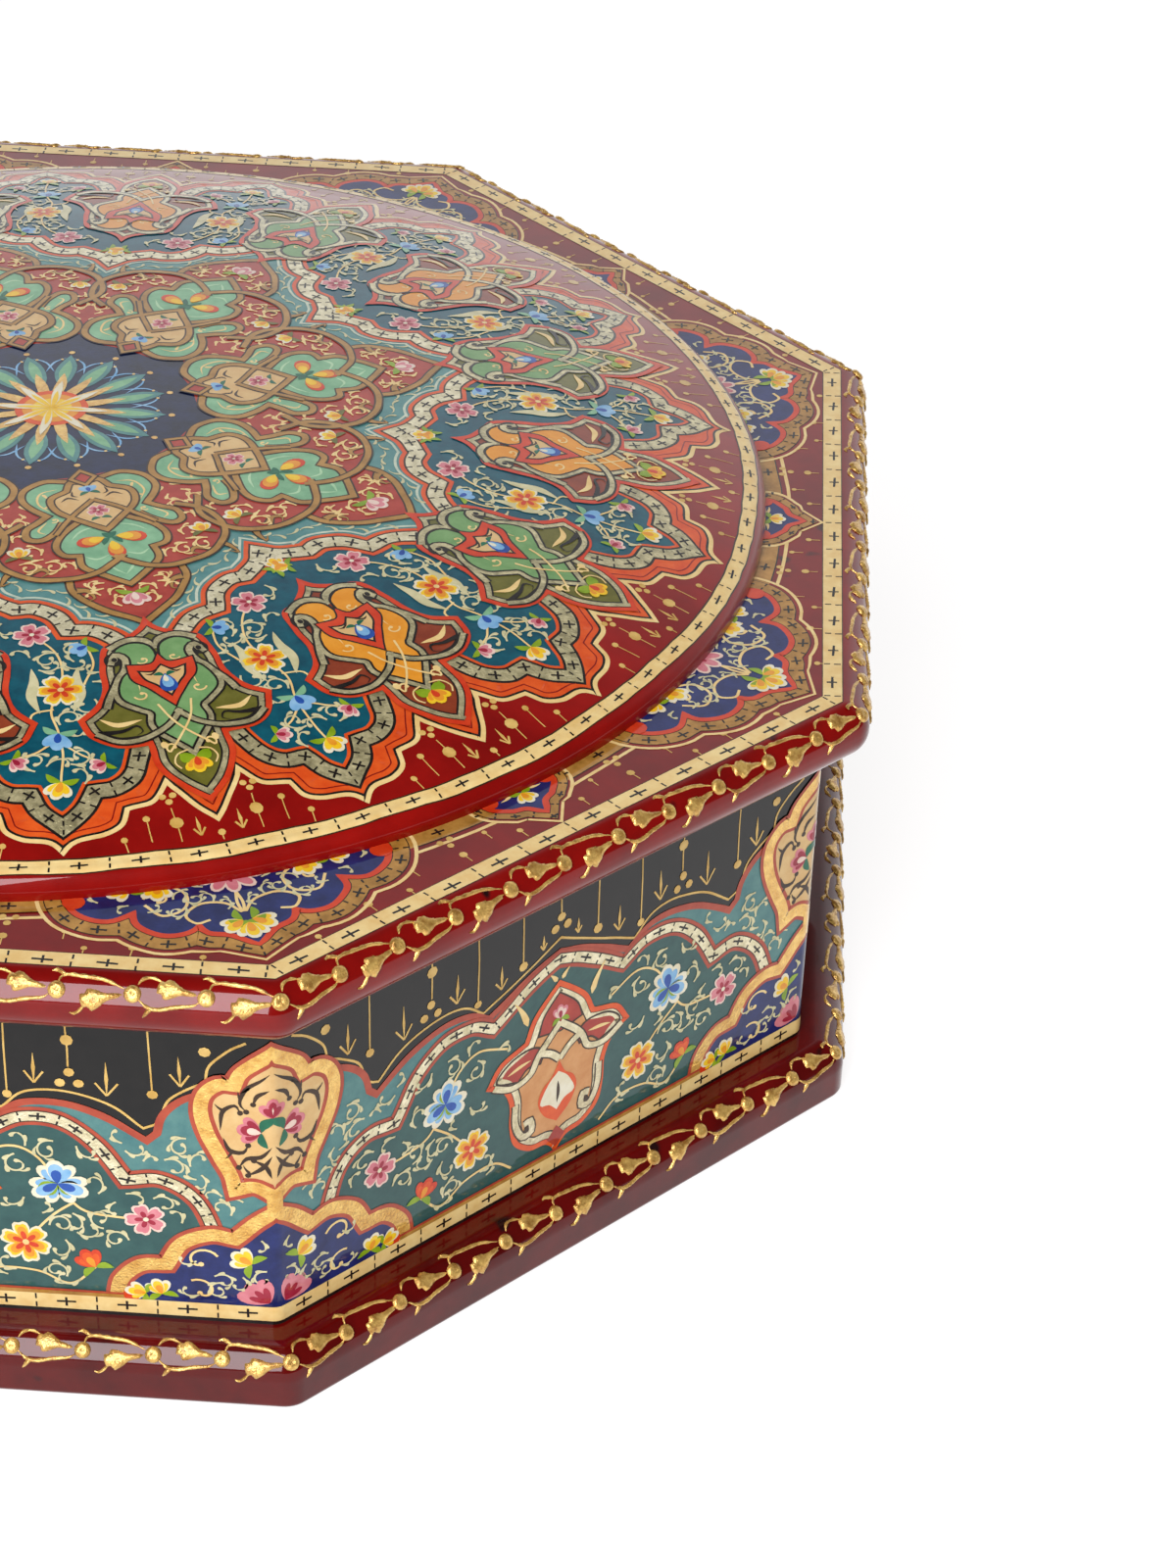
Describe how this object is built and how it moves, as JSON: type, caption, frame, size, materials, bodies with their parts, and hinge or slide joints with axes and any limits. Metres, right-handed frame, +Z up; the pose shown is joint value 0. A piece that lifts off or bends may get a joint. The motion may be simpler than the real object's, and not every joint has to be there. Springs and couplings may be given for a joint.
{
  "type": "octagonal lacquered box",
  "caption": "Low octagonal papier mache box with a lift-off lid, a raised round medallion and painted floral ornament.",
  "frame": {"origin": "middle of the underside of the base plate", "axes": "+Z up, -Y towards the front side, +X to the right of it"},
  "size_m": [0.2086, 0.2086, 0.0679],
  "materials": {
    "red_lacquer": "deep red clear-coated lacquer on papier mache board",
    "painted_wall": "turquoise, teal and charcoal painted ornament under clear lacquer",
    "painted_medallion": "teal, turquoise and red painted ornament under clear lacquer",
    "black_lacquer": "satin black lacquer"
  },
  "bodies": {
    "box": {"base_plate": "red_lacquer", "floor_board": "black_lacquer", "wall_panel_1": "painted_wall", "wall_panel_2": "painted_wall", "wall_panel_3": "painted_wall", "wall_panel_4": "painted_wall", "wall_panel_5": "painted_wall", "wall_panel_6": "painted_wall", "wall_panel_7": "painted_wall", "wall_panel_8": "painted_wall"},
    "lid": {"lid_plate": "red_lacquer", "lid_disc": "painted_medallion", "lid_lining": "black_lacquer", "collar_strip_1": "black_lacquer", "collar_strip_2": "black_lacquer", "collar_strip_3": "black_lacquer", "collar_strip_4": "black_lacquer", "collar_strip_5": "black_lacquer", "collar_strip_6": "black_lacquer", "collar_strip_7": "black_lacquer", "collar_strip_8": "black_lacquer"}
  },
  "joints": [
    {"name": "lid_lift", "type": "slide", "parent": "box", "child": "lid", "axis": [0, 0, 1], "range_m": [0, 0.08]}
  ]
}
